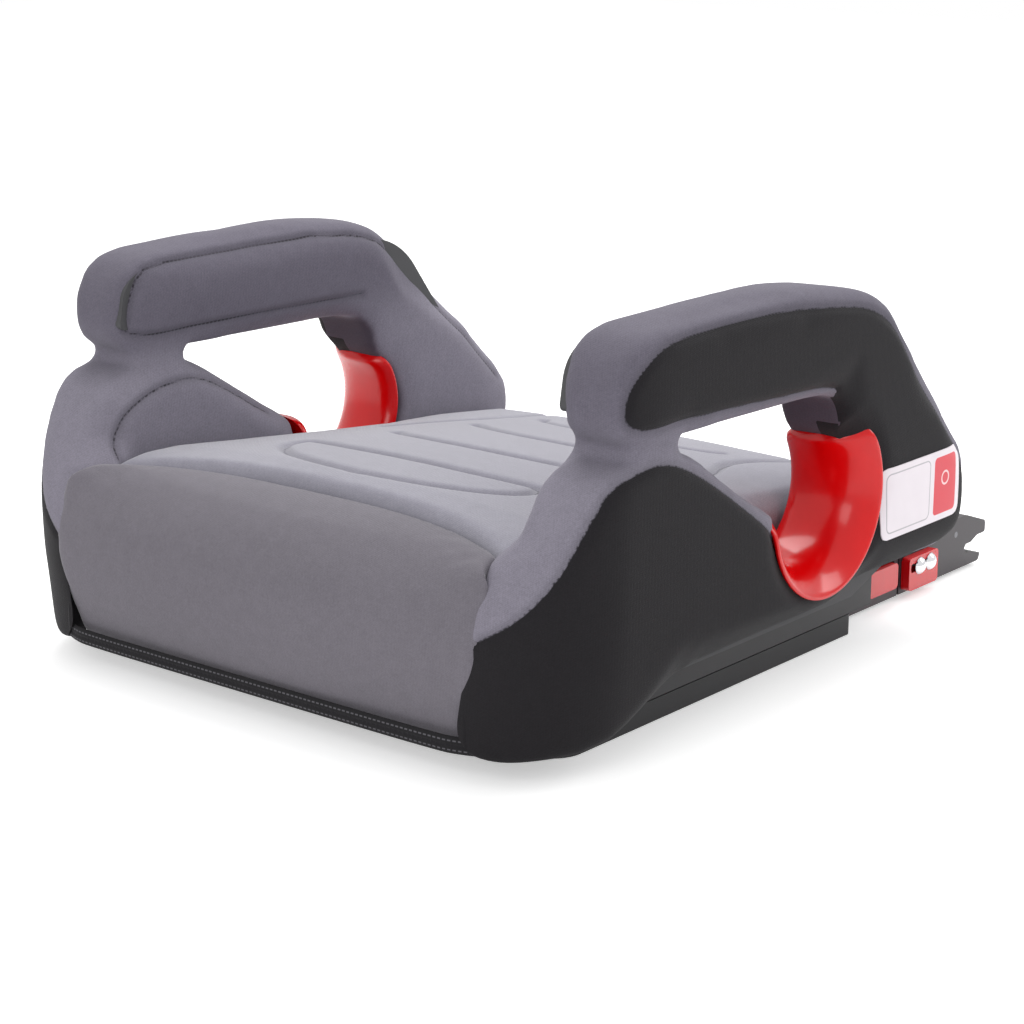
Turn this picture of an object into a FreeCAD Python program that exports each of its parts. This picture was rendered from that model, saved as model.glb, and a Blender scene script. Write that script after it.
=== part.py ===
import FreeCAD, Part
import math
import os

import Sketcher
from FreeCAD import Placement, Rotation, Vector

# Backless booster seat with anchor connectors.
# X runs across the seat, -Y is the front, Z is up. The origin is the middle of the base.
# Pieces are made on the +X side, the sitter's left, and mirrored to the other side.

DIMENSIONS = {
    # whole seat
    "overall_width": 430.0,
    "front_reach": 207.0,
    "rear_reach": 212.0,
    "front_corner": 60.0,
    "rear_corner": 25.0,
    "armrest_top": 238.0,
    "gap_roof": 179.0,
    "gap_rear": 74.0,
    "bolster_top": 170.0,
    # running clearances
    "soft_gap": 0.3,
    "slide_gap": 0.5,
    "rivet_gap": 0.05,
    # base tray
    "tray_width": 344.0,
    "tray_nose_width": 240.0,
    "tray_front": 172.0,
    "tray_shoulder": 140.0,
    "tray_rear": 144.0,
    "tray_height": 22.0,
    "tray_ledge": 13.0,
    "tray_ledge_depth": 4.0,
    "tray_floor": 2.5,
    "tray_wall": 3.0,
    "post_radius": 8.0,
    "post_across": 90.0,
    "post_front": 120.0,
    "post_rear": 100.0,
    # upper shell
    "shell_width": 314.0,
    "shelf_width": 372.0,
    "shell_front": 185.0,
    "shell_rear": 195.0,
    "shelf_top": 43.0,
    "shell_wall": 3.0,
    "deck_front": 100.0,
    "deck_rear": 66.0,
    # padding
    "seat_front": 128.0,
    "seat_rear": 91.0,
    "seam_height": 120.0,
    "skirt_bottom": 26.0,
    "cover_padding": 12.0,
    "label_thickness": 0.5,
    "label_length": 90.0,
    "label_height": 45.0,
    "binding_thickness": 3.5,
    "binding_height": 11.0,
    # belt guides
    "guide_centre": 48.0,
    "guide_height": 110.0,
    "guide_throat": 38.0,
    "guide_wall": 3.0,
    "guide_top_angle": 46.0,
    "guide_inner_flare": 6.0,
    "guide_outer_flare": 13.0,
    "guide_throat_width": 22.0,
    # connectors
    "anchor_spacing": 280.0,
    "anchor_radius": 3.1,
    "case_width": 34.0,
    "case_floor": 2.5,
    "case_top": 38.0,
    "case_front": 70.0,
    "case_rear": 222.0,
    "arm_width": 16.0,
    "arm_low": 9.0,
    "arm_high": 31.0,
    "arm_wall": 2.0,
    "arm_front": 60.0,
    "arm_rear": 290.0,
    "housing_front": 224.0,
    "housing_rear": 335.0,
    "slot_depth": 27.0,
    "slot_middle": 14.5,
    "slot_mouth": 13.0,
    "prong_setback": 8.0,
    "mouth_depth": 10.0,
    "prong_step": 9.0,
    "prong_slope": 26.0,
    "hook_thickness": 6.0,
    "hook_pivot_y": 296.0,
    "hook_pivot_z": 27.0,
    "hook_reach": 33.0,
    "hook_pin_radius": 2.0,
    "button_length": 34.0,
    "button_height": 17.0,
    "button_travel": 4.0,
    "button_proud": 3.5,
    "button_wall": 2.0,
    "button_bore": 3.5,
    "slider_front": 226.0,
    "slider_length": 36.0,
    "slider_low": 5.0,
    "slider_high": 27.0,
    "slider_thickness": 6.0,
    "slider_travel": 8.0,
    "rivet_first": 239.0,
    "rivet_step": 13.0,
    "rivet_height": 20.0,
    "rivet_radius": 2.5,
    "rivet_head": 5.6,
    "screw_radius": 2.0,
    "screw_length": 25.0,
    "boss_bore_length": 17.0,
}

ORIGIN = Vector(0, 0, 0)
doc = FreeCAD.newDocument("booster_seat")
sheet = doc.addObject("Spreadsheet::Sheet", "sizes")
for row, (alias, value) in enumerate(DIMENSIONS.items(), start=1):
    sheet.set(f"A{row}", alias)
    sheet.set(f"B{row}", str(value))
    sheet.setAlias(f"B{row}", alias)
doc.recompute()


class Size:
    """A length or angle held both as a number and as the sheet formula that drives it."""

    def __init__(self, value, formula=None):
        self.value = float(value)
        self.formula = formula or repr(self.value)

    def __add__(self, other):
        other = as_size(other)
        return Size(self.value + other.value, f"({self.formula} + {other.formula})")

    def __sub__(self, other):
        other = as_size(other)
        return Size(self.value - other.value, f"({self.formula} - {other.formula})")

    def __mul__(self, factor):
        factor = as_size(factor)
        return Size(self.value * factor.value, f"({self.formula} * {factor.formula})")

    def __truediv__(self, factor):
        factor = as_size(factor)
        return Size(self.value / factor.value, f"({self.formula} / {factor.formula})")

    def __neg__(self):
        return Size(-self.value, f"(0 - {self.formula})")

    def __radd__(self, other):
        return as_size(other) + self

    def __rsub__(self, other):
        return as_size(other) - self

    def __rmul__(self, other):
        return as_size(other) * self


def as_size(number):
    return number if isinstance(number, Size) else Size(number)


def size(alias):
    return Size(sheet.get(alias), f"sizes.{alias}")


def bind(thing, **sizes):
    """Set properties of a document object from sizes; a double underscore stands for a dot."""
    for name, value in sizes.items():
        thing.setExpression(name.replace("__", "."), as_size(value).formula)


# ---------------------------------------------------------------- small building blocks

def make_box(name, x_range, y_range, z_range):
    box = doc.addObject("Part::Box", name)
    ranges = [[as_size(end) for end in ends] for ends in (x_range, y_range, z_range)]
    bind(box, Length=ranges[0][1] - ranges[0][0], Width=ranges[1][1] - ranges[1][0],
         Height=ranges[2][1] - ranges[2][0], Placement__Base__x=ranges[0][0],
         Placement__Base__y=ranges[1][0], Placement__Base__z=ranges[2][0])
    return box


ALONG_X = Rotation(Vector(0, -1, 0), Vector(0, 0, -1), Vector(1, 0, 0), "ZXY")
ALONG_Y = Rotation(Vector(1, 0, 0), Vector(0, 0, -1), Vector(0, 1, 0), "ZXY")
UPRIGHT = Rotation()


def make_rod(name, start, length, radius, turn=UPRIGHT, angle=360):
    rod = doc.addObject("Part::Cylinder", name)
    rod.Placement = Placement(ORIGIN, turn)
    bind(rod, Radius=radius, Height=length, Angle=angle, Placement__Base__x=start[0],
         Placement__Base__y=start[1], Placement__Base__z=start[2])
    return rod


def cut(name, base, *tools):
    """Cut one or several tools from a base."""
    tool = tools[0] if len(tools) == 1 else fuse(name + "_tools", *tools)
    result = doc.addObject("Part::Cut", name)
    result.Base = base
    result.Tool = tool
    return result


def fuse(name, *pieces):
    result = doc.addObject("Part::MultiFuse", name)
    result.Shapes = list(pieces)
    return result


def common(name, first, second):
    result = doc.addObject("Part::Common", name)
    result.Base = first
    result.Tool = second
    return result


def pin_vertex(sketch, edge, end, point):
    """Drive one end of a sketch edge by two sizes measured from the sketch's origin."""
    for kind, distance in zip(("DistanceX", "DistanceY"), point):
        index = sketch.addConstraint(
            Sketcher.Constraint(kind, -1, 1, edge, end, distance.value))
        sketch.setExpression(f"Constraints[{index}]", distance.formula)


def draw_outline(sketch, corners):
    """Draw a closed outline. A corner is (u, v) or (u, v, radius) for a rounded one."""
    corners = [tuple(as_size(number) for number in corner) for corner in corners]
    count = len(corners)
    ends = []
    for index, corner in enumerate(corners):
        here = Vector(corner[0].value, corner[1].value, 0)
        if len(corner) == 2:
            ends.append((here, here))
            continue
        before, after = corners[index - 1], corners[(index + 1) % count]
        back = (Vector(before[0].value, before[1].value, 0) - here).normalize()
        ahead = (Vector(after[0].value, after[1].value, 0) - here).normalize()
        reach = corner[2].value / math.tan(back.getAngle(ahead) / 2)
        ends.append((here + back * reach, here + ahead * reach))
    lines = [sketch.addGeometry(Part.LineSegment(ends[index][1], ends[(index + 1) % count][0]))
             for index in range(count)]
    for index, corner in enumerate(corners):
        into, out_of = lines[index - 1], lines[index]
        if len(corner) == 2:
            sketch.addConstraint(Sketcher.Constraint("Coincident", into, 2, out_of, 1))
            pin_vertex(sketch, out_of, 1, corner)
            continue
        round_corner(sketch, into, out_of, corner, ends[index])


def round_corner(sketch, into, out_of, corner, ends):
    """Join two lines by a tangent arc whose virtual corner is driven by sizes."""
    start, stop = ends
    here = Vector(corner[0].value, corner[1].value, 0)
    inward = ((start + stop) / 2 - here).normalize()
    half = (start - here).getAngle(stop - here) / 2
    centre = here + inward * (corner[2].value / math.sin(half))
    middle = centre - inward * corner[2].value
    arc = sketch.addGeometry(Part.Arc(start, middle, stop))
    turn = (start - here).cross(stop - here).z
    first, last = (1, 2) if turn < 0 else (2, 1)
    sketch.addConstraint(Sketcher.Constraint("Tangent", into, 2, arc, first))
    sketch.addConstraint(Sketcher.Constraint("Tangent", arc, last, out_of, 1))
    index = sketch.addConstraint(Sketcher.Constraint("Radius", arc, corner[2].value))
    sketch.setExpression(f"Constraints[{index}]", corner[2].formula)
    point = sketch.addGeometry(Part.Point(here), True)
    sketch.addConstraint(Sketcher.Constraint("PointOnObject", point, 1, into))
    sketch.addConstraint(Sketcher.Constraint("PointOnObject", point, 1, out_of))
    pin_vertex(sketch, point, 1, corner)


PLANES = {
    "XY_Plane": Rotation(),
    "XZ_Plane": Rotation(Vector(1, 0, 0), 90),
    "YZ_Plane": Rotation(Vector(0, 1, 0), Vector(0, 0, 1), Vector(1, 0, 0), "ZXY"),
}


def free_sketch(name, plane, corners):
    """A sketch of its own, turned to face along X, -Y or Z."""
    sketch = doc.addObject("Sketcher::SketchObject", name)
    sketch.Placement = Placement(ORIGIN, PLANES[plane])
    draw_outline(sketch, corners)
    return sketch


def extrude(name, sketch, start, length, direction):
    """Extrude a sketch or offset along a row axis from a start distance on that axis."""
    solid = doc.addObject("Part::Extrusion", name)
    solid.Base = sketch
    solid.DirMode = "Custom"
    solid.Dir = direction
    solid.Solid = True
    axis = "xyz"[list(direction).index(1)]
    solid.setExpression("LengthFwd", as_size(length).formula)
    solid.setExpression(f"Placement.Base.{axis}", as_size(start).formula)
    return solid


def new_body(name):
    return doc.addObject("PartDesign::Body", name)


def body_sketch(body, name, plane, corners=None, offset=None):
    """A sketch on one of the body's own origin planes."""
    sketch = body.newObject("Sketcher::SketchObject", name)
    support = [part for part in body.Origin.OriginFeatures if part.Role == plane][0]
    sketch.AttachmentSupport = (support, [""])
    sketch.MapMode = "FlatFace"
    if offset:
        bind(sketch, **{f"AttachmentOffset__Base__{axis}": value
                        for axis, value in offset.items()})
    if corners:
        draw_outline(sketch, corners)
    return sketch


def pad(body, name, sketch, length, reverse=False):
    feature = body.newObject("PartDesign::Pad", name)
    feature.Profile = sketch
    feature.Reversed = reverse
    bind(feature, Length=length)
    return feature


def pocket(body, name, sketch, length, reverse=False):
    feature = body.newObject("PartDesign::Pocket", name)
    feature.Profile = sketch
    feature.Reversed = reverse
    bind(feature, Length=length)
    return feature


def circle(sketch, centre, radius):
    """Draw a circle whose place and radius are driven by sizes."""
    centre = [as_size(number) for number in centre]
    radius = as_size(radius)
    ring = sketch.addGeometry(Part.Circle(
        Vector(centre[0].value, centre[1].value, 0), Vector(0, 0, 1), radius.value))
    index = sketch.addConstraint(Sketcher.Constraint("Radius", ring, radius.value))
    sketch.setExpression(f"Constraints[{index}]", radius.formula)
    pin_vertex(sketch, ring, 3, centre)


def mirrored(name, source):
    """The same piece on the other side of the seat."""
    twin = doc.addObject("Part::Mirroring", name)
    twin.Source = source
    twin.Normal = (1, 0, 0)
    return twin


# ---------------------------------------------------------------- shared places

half_width = size("overall_width") / 2
cover_outer = half_width - size("label_thickness")
cover_inner = size("shell_width") / 2 + size("soft_gap")
skirt_low = size("skirt_bottom") + size("soft_gap")
anchor_x = size("anchor_spacing") / 2
case_inner = anchor_x - size("case_width") / 2
case_outer = anchor_x + size("case_width") / 2
arm_inner = anchor_x - size("arm_width") / 2
arm_outer = anchor_x + size("arm_width") / 2
post_places = [(side * size("post_across"), place) for side in (1, -1)
               for place in (-size("post_front"), size("post_rear"))]
NODES = {}


def keep(node, thing):
    """Give a sub-part its label, which is also its file's name."""
    thing.Label = node
    NODES[node] = thing


def keep_pair(node, thing):
    keep(node + "_left", thing)
    keep(node + "_right", mirrored(node + "_twin", thing))


# ---------------------------------------------------------------- base tray and shell

def tray_outline(inset):
    nose = size("tray_nose_width") / 2 - inset
    side = size("tray_width") / 2 - inset
    front = size("tray_front") - inset
    return [(nose, -front, 8), (side, -size("tray_shoulder"), 20),
            (side, size("tray_rear") - inset, 5), (-side, size("tray_rear") - inset, 5),
            (-side, -size("tray_shoulder"), 20), (-nose, -front, 8)]


def make_base_tray():
    """Flat tray with a stepped rim, four screw posts and a gate for each anchor case."""
    body = new_body("tray_body")
    low = body_sketch(body, "tray_low", "XY_Plane", tray_outline(as_size(0)))
    pad(body, "tray_rim", low, size("tray_ledge"))
    high = body_sketch(body, "tray_high", "XY_Plane", tray_outline(size("tray_ledge_depth")))
    pad(body, "tray_wall_block", high, size("tray_height"))
    hollow = body_sketch(body, "tray_hollow", "XY_Plane",
                         tray_outline(size("tray_ledge_depth") + size("tray_wall")),
                         {"z": size("tray_floor")})
    for place in post_places:
        circle(hollow, place, size("post_radius"))
    pocket(body, "tray_room", hollow, size("tray_height"), reverse=True)
    gates = body_sketch(body, "tray_gates", "XZ_Plane", None)
    top = size("tray_height") + 1
    for side in (1, -1):
        draw_outline(gates, [(side * case_inner - side * size("soft_gap"), size("tray_floor")),
                             (side * case_outer + side * size("soft_gap"), size("tray_floor")),
                             (side * case_outer + side * size("soft_gap"), top),
                             (side * case_inner - side * size("soft_gap"), top)])
    bind(gates, AttachmentOffset__Base__z=-size("tray_rear") - 1)
    pocket(body, "tray_gateway", gates, size("tray_wall") + size("tray_ledge_depth") + 2,
           reverse=True)
    holes = body_sketch(body, "tray_holes", "XY_Plane")
    sinks = body_sketch(body, "tray_sinks", "XY_Plane")
    for place in post_places:
        circle(holes, place, size("screw_radius") + size("rivet_gap"))
        circle(sinks, place, size("screw_radius") * 2 + size("slide_gap"))
    pocket(body, "tray_bores", holes, size("tray_height") + 1, reverse=True)
    pocket(body, "tray_counterbores", sinks, size("tray_height") / 2, reverse=True)
    keep("base_tray", body)


def deck_profile(inset, below):
    """Side view of the deck. The rear part stops above the anchor cases."""
    front, rear = size("shell_front") - inset, size("shell_rear") - inset
    if below:
        foot = [(rear, as_size(below)), (-front, as_size(below))]
    else:
        ledge = size("case_top") + 2
        foot = [(rear, ledge), (size("tray_rear"), ledge),
                (size("tray_rear"), size("tray_height")), (-front, size("tray_height"))]
    return foot + [(-front, size("deck_front") - inset), (rear, size("deck_rear") - inset)]


def make_upper_shell():
    """Hollow pan: a sloping deck between two low shelves, with four screw bosses."""
    wall, gap = size("shell_wall"), size("slide_gap")
    half, shelf = size("shell_width") / 2, size("shelf_width") / 2
    front, rear = -size("shell_front") + 5, size("tray_rear") - 2
    deck = extrude("deck_block", free_sketch("deck_side", "YZ_Plane", deck_profile(as_size(0), 0)),
                   -half, size("shell_width"), Vector(1, 0, 0))
    shelf_block = make_box("shelf_block", (-shelf, shelf), (front, rear),
                           (size("tray_height"), size("shelf_top")))
    room = extrude("deck_room", free_sketch("deck_room_side", "YZ_Plane", deck_profile(wall, 10)),
                   -half + wall, size("shell_width") - 2 * wall, Vector(1, 0, 0))
    shelf_room = make_box("shelf_room", (wall - shelf, shelf - wall), (front + wall, rear - wall),
                          (as_size(10), size("shelf_top") - wall))
    outer = fuse("shell_outer", deck, shelf_block)
    pan = cut("shell_pan", outer, room, shelf_room)
    bosses = [make_rod(f"boss_{index}", (x, y, size("tray_height")), size("deck_front"),
                       size("post_radius") - 2) for index, (x, y) in enumerate(post_places)]
    boss_group = common("boss_group", fuse("boss_rods", *bosses), deck)
    bores = [make_rod(f"boss_bore_{index}", (x, y, size("tray_height") - 1), size("boss_bore_length"),
                      size("screw_radius") + size("rivet_gap"))
             for index, (x, y) in enumerate(post_places)]
    gates = [make_box(f"shell_gate_{side}", (-case_outer - gap, -case_inner + gap) if side == "right"
                      else (case_inner - gap, case_outer + gap),
                      (size("post_rear"), size("tray_rear") + 1),
                      (size("tray_height") - 1, size("case_top") + gap))
             for side in ("left", "right")]
    keep("upper_shell", cut("shell_done", fuse("shell_bossed", pan, boss_group), *bores, *gates))


def make_base_screws():
    """Four pan-head screws up through the tray posts into the shell's bosses."""
    screws = []
    head_base = size("tray_height") / 2 - 3
    for index, (x, y) in enumerate(post_places):
        head = make_rod(f"screw_head_{index}", (x, y, head_base), as_size(3),
                        size("screw_radius") * 2)
        shank = make_rod(f"screw_shank_{index}", (x, y, head_base + 2), size("screw_length"),
                         size("screw_radius"))
        screws.append(fuse(f"screw_{index}", head, shank))
    group = doc.addObject("Part::Compound", "screw_group")
    group.Links = screws
    keep("base_screws", group)


# ---------------------------------------------------------------- padding and side cores

def side_outline():
    """Side view of bolster, rear pillar and armrest, with the belt gap open to the front."""
    front, rear = size("front_reach"), size("rear_reach")
    roof, wall, top = size("gap_roof"), size("gap_rear"), size("armrest_top")
    bolster = size("bolster_top")
    guide_y, guide_z = size("guide_centre"), size("guide_height")
    ledge = size("case_top") + 2
    return [(-front + 2, skirt_low), (size("tray_rear") - 40, skirt_low), (size("tray_rear"), ledge),
            (rear - 12, ledge, 13), (rear + 1, guide_z - 15, 45), (rear - 98, top - 12, 70),
            (rear - 180, top, 90), (-front + 60, top, 34), (-front + 49, roof, 16),
            (wall, roof, 30), (wall, guide_z + wall - guide_y), (guide_y, guide_z - 6),
            (guide_y - 54, guide_z - 1), (-front + 103, bolster + 2, 55),
            (-front + 47, bolster - 4, 45), (-front, guide_z - 20, 60)]


def guide_sector(name, radius, spare_angle, ends):
    """The wedge of space that a belt guide sweeps, from its front edge round to its top."""
    return make_rod(name, (ends[0], size("guide_centre"), size("guide_height")),
                    ends[1] - ends[0], radius, ALONG_X,
                    180 + size("guide_top_angle") + spare_angle)


def make_side_core_and_cover():
    """C-shaped core standing on the shelf, and the padded cover sewn round it."""
    flare = size("guide_throat") + size("guide_outer_flare") + size("guide_wall")
    notch = flare + size("soft_gap") * 2
    padding, gap = size("cover_padding"), size("soft_gap")
    guide_axis = (size("guide_centre"), size("guide_height"))
    outline = free_sketch("side_profile", "YZ_Plane", side_outline())
    width = cover_outer - cover_inner

    def plan_block(name, inset):
        front, rear = -size("front_reach") + inset, size("rear_reach") - inset
        side = cover_outer - inset
        plan = free_sketch(name + "_plan", "XY_Plane", [
            (side, front, size("front_corner") - inset), (side, rear, size("rear_corner") - inset),
            (cover_inner - 5, rear), (cover_inner - 5, front)])
        return extrude(name + "_plan_block", plan, as_size(0), size("armrest_top") + 30, Vector(0, 0, 1))

    block = extrude("side_block", outline, cover_inner, width, Vector(1, 0, 0))
    rounded = common("side_rounded", block, plan_block("side", as_size(0)))

    def inner_form(name, inset, side_inset, foot_gap):
        shrunk = doc.addObject("Part::Offset2D", name + "_offset")
        shrunk.Source = outline
        shrunk.Join = 0
        bind(shrunk, Value=-inset)
        slab = extrude(name + "_slab", shrunk, cover_inner + side_inset,
                       width - side_inset * 2 - 8, Vector(1, 0, 0))
        eye = make_rod(name + "_eye", (cover_inner - 1, *guide_axis), width + 2,
                       notch + inset, ALONG_X)
        shelf = make_box(name + "_shelf", (cover_inner - 1, size("shelf_width") / 2 + 1),
                         (-size("front_reach"), size("rear_reach")),
                         (as_size(0), size("shelf_top")))
        foot = make_box(name + "_foot",
                        (cover_inner + side_inset, size("shelf_width") / 2 - 3 + foot_gap),
                        (-size("tray_shoulder") - foot_gap, size("tray_rear") - 44 + foot_gap),
                        (size("shelf_top") - foot_gap, size("shelf_top") + 10))
        trimmed = cut(name + "_trimmed", slab, eye, shelf)
        return fuse(name, common(name + "_rounded", trimmed, plan_block(name, inset - 1)), foot)

    core = inner_form("core_form", padding, padding - 2, as_size(0))
    cavity = inner_form("cavity_form", padding - gap, padding - 2 - gap, gap)
    sector = guide_sector("cover_notch", notch, 0.8, (cover_inner - 1, cover_outer + 1))
    shelf = make_box("cover_shelf_room", (cover_inner - 1, size("shelf_width") / 2 + gap),
                     (-size("shell_front") + 5 - gap, size("tray_rear") - 2 + gap),
                     (as_size(0), size("shelf_top") + gap))
    keep_pair("side_core", core)
    keep_pair("side_cover", cut("side_cover_form", rounded, sector, shelf, cavity))


def make_seat_cushion():
    """Padded seat panel on the deck, highest behind the front edge."""
    gap = size("soft_gap")
    front, rear = size("shell_front") - 18, size("shell_rear") + 3
    slope = (size("deck_front") - size("deck_rear")) / (size("shell_front") + size("shell_rear"))
    rear_deck = size("deck_rear") - slope * 3
    front_deck = size("deck_front") - slope * 18
    outline = [(-front, front_deck + gap), (rear, rear_deck + gap),
               (rear, size("seat_rear")), (size("shell_rear") - 75, size("seat_rear") + 13),
               (-size("shell_front") + 160, size("seat_front")),
               (-size("shell_front") + 65, size("seat_front") + 3), (-front, size("seam_height"))]
    sketch = free_sketch("cushion_side", "YZ_Plane", outline)
    half = size("shell_width") / 2
    keep("seat_cushion", extrude("cushion_form", sketch, -half, half * 2, Vector(1, 0, 0)))


def make_end_pads():
    """Padded front panel and rear panel over the shell's end walls."""
    gap = size("soft_gap")
    half = size("shell_width") / 2
    back = -size("shell_front") - gap
    front = -size("front_reach")
    seam = -size("shell_front") + 18 - gap
    front_deck = size("deck_front") + gap
    sketch = free_sketch("front_pad_side", "YZ_Plane", [
        (back, skirt_low), (back, front_deck), (seam, front_deck), (seam, size("seam_height")),
        (front + 16, size("seam_height") - 8, 20), (front + 1, size("seam_height") - 42, 60),
        (front + 3, skirt_low)])
    keep("front_pad", extrude("front_pad_form", sketch, -half, half * 2, Vector(1, 0, 0)))
    low = size("case_top") + 2
    rear_pad = make_box("rear_pad_form", (-half, half),
                        (size("shell_rear") + gap, size("shell_rear") + 11),
                        (low, size("deck_rear") - 1.5))
    keep("rear_pad", rear_pad)


def make_cover_binding():
    """Narrow binding that finishes the cover's lower edge along the front and the sides."""
    thick = size("binding_thickness")
    inner = size("shelf_width") / 2 + size("soft_gap")
    front = size("front_reach") - 4
    rear = size("tray_rear") - 44
    bevel = 21
    path = [(inner, rear), (inner, -front + bevel), (inner - bevel, -front)]
    outer = [(inner + thick, rear), (inner + thick, -front + bevel - 1.5),
             (inner - bevel + 1.5, -front - thick)]
    right = [(-x, y) for x, y in reversed(path)]
    right_outer = [(-x, y) for x, y in outer]
    sketch = free_sketch("binding_plan", "XY_Plane",
                         outer[::-1] + path + right + right_outer)
    keep("cover_binding", extrude("binding_form", sketch, size("skirt_bottom") - size("binding_height"),
                                  size("binding_height"), Vector(0, 0, 1)))


def make_label():
    """Thin label on the outer face of the left rear pillar."""
    body = new_body("label_body")
    rear = size("rear_reach") - 18.5
    low = size("guide_height") - 36
    front, high = rear - size("label_length"), low + size("label_height")
    corners = [(front, low, 5), (rear, low, 5), (rear, high, 5), (front, high, 5)]
    sketch = body_sketch(body, "label_outline", "YZ_Plane", corners, {"z": cover_outer})
    pad(body, "label_sheet", sketch, size("label_thickness"))
    keep("information_label", body)


# ---------------------------------------------------------------- belt guides

def make_belt_guide():
    """Flared half-pipe: a hooked profile turned about the guide's axis."""
    body = new_body("guide_body")
    sketch = body_sketch(body, "guide_profile", "XY_Plane", None,
                         {"y": size("guide_centre"), "z": size("guide_height")})
    throat, wall = size("guide_throat"), size("guide_wall")
    inner, outer = cover_inner + size("soft_gap"), cover_outer
    flat_end = outer - 27
    flat_start = flat_end - size("guide_throat_width")
    inner_rise, outer_rise = size("guide_inner_flare"), size("guide_outer_flare")
    lip = [(inner, -throat - inner_rise), (inner, -throat - inner_rise - wall),
           (flat_start, -throat - wall, 20), (flat_end, -throat - wall, 20),
           (outer - 3, -throat - outer_rise - wall), (outer, -throat - outer_rise),
           (flat_end, -throat, 24), (flat_start, -throat, 24)]
    draw_outline(sketch, lip)
    turn = body.newObject("PartDesign::Revolution", "guide_turn")
    turn.Profile = sketch
    turn.ReferenceAxis = (sketch, ["H_Axis"])
    bind(turn, Angle=180 + size("guide_top_angle"))
    keep_pair("belt_guide", body)


# ---------------------------------------------------------------- anchor connectors

def make_slide_case():
    """Square tube fixed in the tray, with a blind pocket for the adjust button."""
    gap = size("slide_gap")
    case = make_box("case_block", (case_inner, case_outer),
                    (-size("case_front"), size("case_rear")),
                    (size("case_floor"), size("case_top")))
    bore = make_box("case_bore", (arm_inner - gap, arm_outer + gap),
                    (-size("case_front") + 4, size("case_rear") + 1),
                    (size("arm_low") - gap, size("arm_high") + gap))
    keep_pair("slide_case", cut("case_form", case, bore, button_pocket()))


def button_place():
    """Front and rear of the adjust button along Y, and its lowest and highest point."""
    rear = size("case_rear") - 5
    front = rear - size("button_length")
    low = size("rivet_height") - size("button_height") / 2 - 2
    return front, rear, low, low + size("button_height")


def button_pocket():
    gap = size("slide_gap")
    front, rear, low, high = button_place()
    floor = arm_outer + gap + size("button_wall")
    return make_box("button_room", (floor, case_outer + 1), (front - gap, rear + gap),
                    (low - gap, high + gap))


def make_adjust_button():
    """Push button with a rounded face and a blind hole for its spring."""
    front, rear, low, high = button_place()
    middle = ((front + rear) / 2, (low + high) / 2)
    floor = arm_outer + size("slide_gap") + size("button_wall")
    back = floor + size("button_travel") + size("slide_gap")
    face = case_outer + size("button_proud")
    body = new_body("button_body")
    sketch = body_sketch(body, "button_outline", "YZ_Plane",
                         [(front, low, 3), (rear, low, 3), (rear, high, 3), (front, high, 3)],
                         {"z": back})
    pad(body, "button_block", sketch, face - back)
    doc.recompute()
    hole = body_sketch(body, "button_hole", "YZ_Plane", None, {"z": back})
    circle(hole, middle, size("button_bore"))
    pocket(body, "button_bore", hole, size("button_travel"), reverse=True)
    keep_pair("adjust_button", body)
    end = back + size("button_travel") - size("soft_gap")
    keep_pair("adjust_spring", coil("adjust_coil", floor, end, size("button_bore") - 0.7,
                                    middle, ALONG_X, "x"))


def coil(name, start, end, radius, centre, turn, axis):
    """Compression spring: a round wire swept along a helix from one seat to the other."""
    wire = 0.4
    helix = doc.addObject("Part::Helix", name + "_path")
    bind(helix, Radius=radius, Height=end - start - 2 * wire, Pitch=(end - start - 2 * wire) / 4)
    ring = doc.addObject("Part::Circle", name + "_section")
    ring.Placement = Placement(Vector(as_size(radius).value, 0, 0), Rotation(Vector(1, 0, 0), 90))
    bind(ring, Radius=wire)
    sweep = doc.addObject("Part::Sweep", name)
    sweep.Sections = [ring]
    sweep.Spine = (helix, ["Edge1"])
    sweep.Solid = True
    sweep.Frenet = True
    sweep.Placement = Placement(ORIGIN, turn)
    places = dict(zip([letter for letter in "xyz" if letter != axis], centre))
    places[axis] = start + wire
    bind(sweep, **{f"Placement__Base__{letter}": value for letter, value in places.items()})
    return sweep


def make_connector_arm():
    """Square steel tube that joins the fork housing to the case."""
    wall = size("arm_wall")
    low, high = size("arm_low"), size("arm_high")
    block = make_box("arm_block", (arm_inner, arm_outer), (-size("arm_front"), size("arm_rear")),
                     (low, high))
    bore = make_box("arm_bore", (arm_inner + wall, arm_outer - wall),
                    (-size("arm_front") - 1, size("arm_rear") + 1), (low + wall, high - wall))
    keep_pair("connector_arm", cut("arm_form", block, bore, *rivet_bores("arm")))


def rivet_bores(name):
    length = size("case_width") + 4
    return [make_rod(f"{name}_rivet_bore_{index}",
                     (case_inner - 2, size("rivet_first") + index * size("rivet_step"),
                      size("rivet_height")), length,
                     size("rivet_radius") + size("rivet_gap"), ALONG_X) for index in (0, 1)]


def housing_outline():
    """Side view of the fork: a stepped top, two prongs and a slot that narrows to the anchor bar."""
    front, rear = size("housing_front"), size("housing_rear")
    low, high = size("case_floor"), size("case_top")
    middle, half_mouth = size("slot_middle"), size("slot_mouth") / 2
    bar = size("anchor_radius")
    seat = rear - size("slot_depth") + bar
    mouth = rear - size("mouth_depth")
    setback = size("prong_setback")
    return [(front, low), (rear - setback, low, 2.5), (rear - setback + 3, middle - half_mouth, 1.5),
            (mouth, middle - half_mouth, 6), (seat + 5, middle - bar, 6),
            (seat, middle - bar), (seat, middle + bar),
            (seat + 5, middle + bar, 6), (mouth, middle + half_mouth, 6),
            (rear, middle + half_mouth, 2), (rear, high - size("prong_step"), 3),
            (rear - size("prong_slope"), high, 12), (front, high)]


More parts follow.
